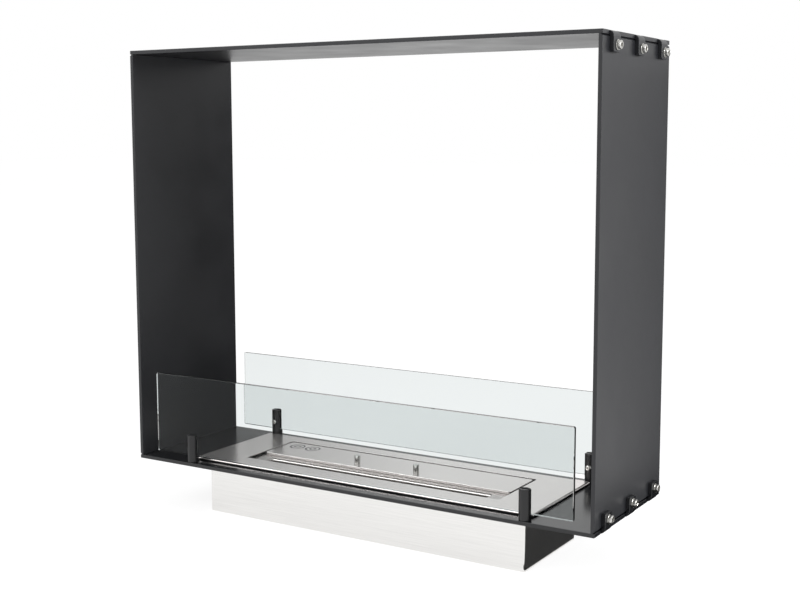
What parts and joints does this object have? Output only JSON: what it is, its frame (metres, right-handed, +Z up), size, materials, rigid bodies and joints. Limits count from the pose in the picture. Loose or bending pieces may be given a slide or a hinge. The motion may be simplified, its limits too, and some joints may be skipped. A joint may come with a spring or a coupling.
{
  "type": "double-sided fireplace",
  "caption": "See-through fireplace: a sheet-metal frame open front and back, a low glass pane on each side, and a drop-in burner with a sliding lid below.",
  "frame": {"origin": "middle of the burner casing's flat underside, on which the fireplace stands", "axes": "+X to the right seen from the front, +Y from the front pane to the back pane, +Z up"},
  "size_m": [0.7212, 0.21, 0.643],
  "materials": {
    "powder_coat": "satin anthracite powder coat",
    "post_coat": "satin black",
    "burner_steel": "brushed",
    "screw_steel": "turned",
    "polished_steel": "polished",
    "liner": "matt",
    "fibre": "matt fibre",
    "pane_glass": "clear toughened glass",
    "seal": "matt black fibre"
  },
  "bodies": {
    "frame": {"top_plate": "powder_coat", "bottom_plate": "powder_coat", "right_side_plate": "powder_coat", "left_side_plate": "powder_coat", "right_tab_screws": "screw_steel", "left_tab_screws": "screw_steel", "right_tab_washers": "screw_steel", "left_tab_washers": "screw_steel", "front_left_post": "post_coat", "front_right_post": "post_coat", "back_left_post": "post_coat", "back_right_post": "post_coat", "glass_liners": "liner", "clamp_screws": "screw_steel", "post_screws": "screw_steel", "burner_casing": "burner_steel", "burner_flange": "burner_steel", "sealing_strip": "seal", "tank_support_frame": "burner_steel", "flange_studs": "screw_steel", "stud_washers": "screw_steel", "stud_nuts": "screw_steel"},
    "tank": {"tank_top": "burner_steel", "slot_collar": "burner_steel", "tank_shell": "burner_steel", "fibre_core": "fibre"},
    "lid": {"sliding_lid": "burner_steel", "left_lid_knob": "polished_steel", "right_lid_knob": "polished_steel", "knob_screws": "screw_steel"},
    "front_pane": {"front_glass": "pane_glass"},
    "back_pane": {"back_glass": "pane_glass"}
  },
  "joints": [
    {"name": "tank_lift", "type": "slide", "parent": "frame", "child": "tank", "axis": [0, 0, 1], "range_m": [0, 0.08]},
    {"name": "lid_slide", "type": "slide", "parent": "tank", "child": "lid", "axis": [0, -1, 0], "range_m": [0, 0.037]},
    {"name": "front_pane_lift", "type": "slide", "parent": "frame", "child": "front_pane", "axis": [0, 0, 1], "range_m": [0, 0.06]},
    {"name": "back_pane_lift", "type": "slide", "parent": "frame", "child": "back_pane", "axis": [0, 0, 1], "range_m": [0, 0.06]}
  ]
}
